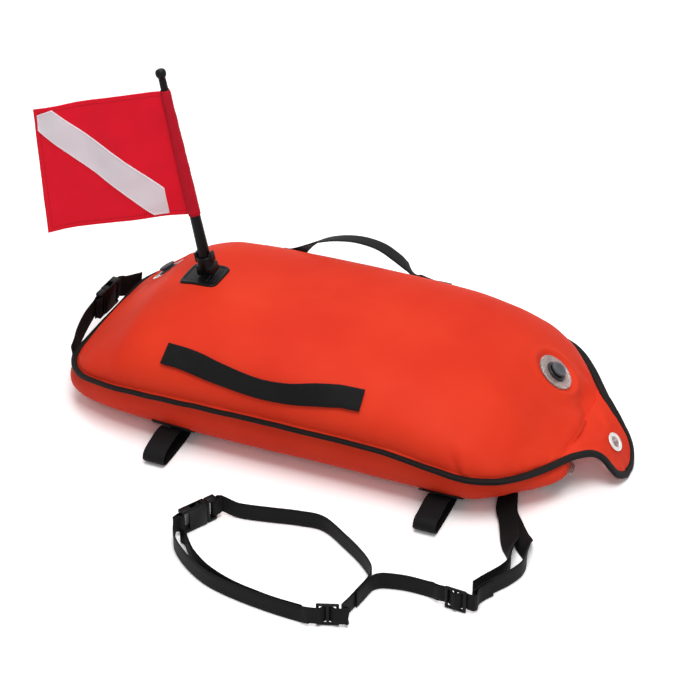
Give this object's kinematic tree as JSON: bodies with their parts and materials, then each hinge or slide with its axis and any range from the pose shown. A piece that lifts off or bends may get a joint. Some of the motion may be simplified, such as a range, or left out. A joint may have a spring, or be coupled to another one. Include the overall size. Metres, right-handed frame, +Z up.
{
  "type": "spearfishing_float",
  "caption": "Inflatable spearfishing float in orange coated cloth with a dive flag, valves, handles, a tow tab, gear loops and a leash with belt",
  "frame": {"origin": "on the floor, under the middle of the hull, on its flat underside", "axes": "X points to the nose with the tow tab, Y to the side away from the viewer, Z up"},
  "size_m": [0.6899, 0.5221, 0.3826],
  "materials": {
    "coated_orange_cloth": "coated, semi-gloss",
    "red_flag_cloth": "woven, matte",
    "white_stripe_cloth": "woven, satin",
    "black_webbing": "woven webbing",
    "black_binding_tape": "woven tape",
    "black_acetal": "moulded, satin",
    "bladder_vinyl": "smooth film",
    "clear_vinyl": "clear, smooth",
    "dark_seat_plastic": "moulded",
    "grey_cap_plastic": "moulded",
    "seal_rubber": "smooth",
    "nickel_plate": "plated, satin"
  },
  "bodies": {
    "hull": {"belt": "black_webbing", "belt_buckle_plug": "black_acetal", "belt_buckle_socket": "black_acetal", "belt_return": "black_webbing", "belt_slider": "black_acetal", "cover_bottom": "coated_orange_cloth", "cover_top": "coated_orange_cloth", "flag_base": "black_acetal", "flag_socket": "black_acetal", "grommet_washer": "nickel_plate", "handle_far": "black_webbing", "handle_near": "black_webbing", "leash_front_ply": "black_webbing", "leash_link": "black_webbing", "leash_rear_ply": "black_webbing", "leash_slider": "black_acetal", "lower_bladder": "bladder_vinyl", "nose_gear_loop": "black_webbing", "nose_gear_loop_patch": "black_webbing", "nose_valve_body": "clear_vinyl", "nose_valve_seat": "dark_seat_plastic", "seam_binding": "black_binding_tape", "tail_buckle_plug": "black_acetal", "tail_buckle_socket": "black_acetal", "tail_gear_loop": "black_webbing", "tail_gear_loop_patch": "black_webbing", "tail_strap_far": "black_webbing", "tail_strap_near": "black_webbing", "tail_valve_body": "clear_vinyl", "tail_valve_seat": "dark_seat_plastic", "tow_grommet": "nickel_plate", "tow_tab": "coated_orange_cloth", "under_valve_body": "clear_vinyl", "under_valve_seat": "dark_seat_plastic", "upper_bladder": "bladder_vinyl"},
    "pole": {"flag_pole": "black_acetal", "pole_knob": "black_acetal"},
    "flag": {"flag_sleeve": "red_flag_cloth", "flag_cloth": "red_flag_cloth", "flag_stripe_near": "white_stripe_cloth", "flag_stripe_far": "white_stripe_cloth"},
    "tail_valve_ring": {"tail_valve_seal": "seal_rubber"},
    "tail_valve_screw": {"tail_valve_cap": "grey_cap_plastic"},
    "nose_valve_ring": {"nose_valve_seal": "seal_rubber"},
    "nose_valve_screw": {"nose_valve_cap": "grey_cap_plastic"},
    "under_valve_ring": {"under_valve_seal": "seal_rubber"},
    "under_valve_screw": {"under_valve_cap": "grey_cap_plastic"},
    "tail_buckle_left": {"tail_buckle_left_prong": "black_acetal"},
    "tail_buckle_right": {"tail_buckle_right_prong": "black_acetal"},
    "belt_buckle_left": {"belt_buckle_left_prong": "black_acetal"},
    "belt_buckle_right": {"belt_buckle_right_prong": "black_acetal"}
  },
  "joints": [
    {"name": "pole_pull", "type": "slide", "parent": "hull", "child": "pole", "axis": [-0.1959, 0, 0.9806], "range_m": [0, 0.035]},
    {"name": "flag_swing", "type": "hinge", "parent": "pole", "child": "flag", "pos_m": [-0.161, 0, 0.13946], "axis": [-0.1959, 0, 0.9806], "continuous": true},
    {"name": "tail_cap_lift", "type": "slide", "parent": "hull", "child": "tail_valve_ring", "axis": [-0.5908, 0.0966, 0.8011], "range_m": [0, 0.00375]},
    {"name": "tail_cap_turn", "type": "hinge", "parent": "tail_valve_ring", "child": "tail_valve_screw", "pos_m": [-0.23623, 0.04971, 0.09622], "axis": [-0.5908, 0.0966, 0.8011], "range_deg": [0, 540]},
    {"name": "nose_cap_lift", "type": "slide", "parent": "hull", "child": "nose_valve_ring", "axis": [0.6271, 0.0682, 0.776], "range_m": [0, 0.00375]},
    {"name": "nose_cap_turn", "type": "hinge", "parent": "nose_valve_ring", "child": "nose_valve_screw", "pos_m": [0.23712, 0.03879, 0.08235], "axis": [0.6271, 0.0682, 0.776], "range_deg": [0, 540]},
    {"name": "under_cap_lift", "type": "slide", "parent": "hull", "child": "under_valve_ring", "axis": [0.3998, -0.0918, -0.912], "range_m": [0, 0.00375]},
    {"name": "under_cap_turn", "type": "hinge", "parent": "under_valve_ring", "child": "under_valve_screw", "pos_m": [0.2688, -0.04653, 0.0162], "axis": [0.3998, -0.0918, -0.912], "range_deg": [0, 540]},
    {"name": "tail_buckle_left_press", "type": "hinge", "parent": "hull", "child": "tail_buckle_left", "pos_m": [-0.30301, 0.00534, 0.05535], "axis": [0.995, -0.0099, -0.0995], "range_deg": [0, 7], "stiffness_Nm_per_rad": 0.02},
    {"name": "tail_buckle_right_press", "type": "hinge", "parent": "hull", "child": "tail_buckle_right", "pos_m": [-0.30118, 0.00586, 0.07361], "axis": [-0.995, 0.0099, 0.0995], "range_deg": [0, 7], "stiffness_Nm_per_rad": 0.02},
    {"name": "belt_buckle_left_press", "type": "hinge", "parent": "hull", "child": "belt_buckle_left", "pos_m": [-0.04879, -0.25302, 0.02273], "axis": [0.8746, -0.4848, 0], "range_deg": [0, 7], "stiffness_Nm_per_rad": 0.02},
    {"name": "belt_buckle_right_press", "type": "hinge", "parent": "hull", "child": "belt_buckle_right", "pos_m": [-0.04879, -0.25302, 0.00707], "axis": [-0.8746, 0.4848, 0], "range_deg": [0, 7], "stiffness_Nm_per_rad": 0.02}
  ],
  "couplings": [
    {"joint": "tail_cap_turn", "follows": "tail_cap_lift", "rad_per_m": 2513.3},
    {"joint": "nose_cap_turn", "follows": "nose_cap_lift", "rad_per_m": 2513.3},
    {"joint": "under_cap_turn", "follows": "under_cap_lift", "rad_per_m": 2513.3},
    {"joint": "tail_buckle_right_press", "follows": "tail_buckle_left_press", "ratio": 1},
    {"joint": "belt_buckle_right_press", "follows": "belt_buckle_left_press", "ratio": 1}
  ]
}
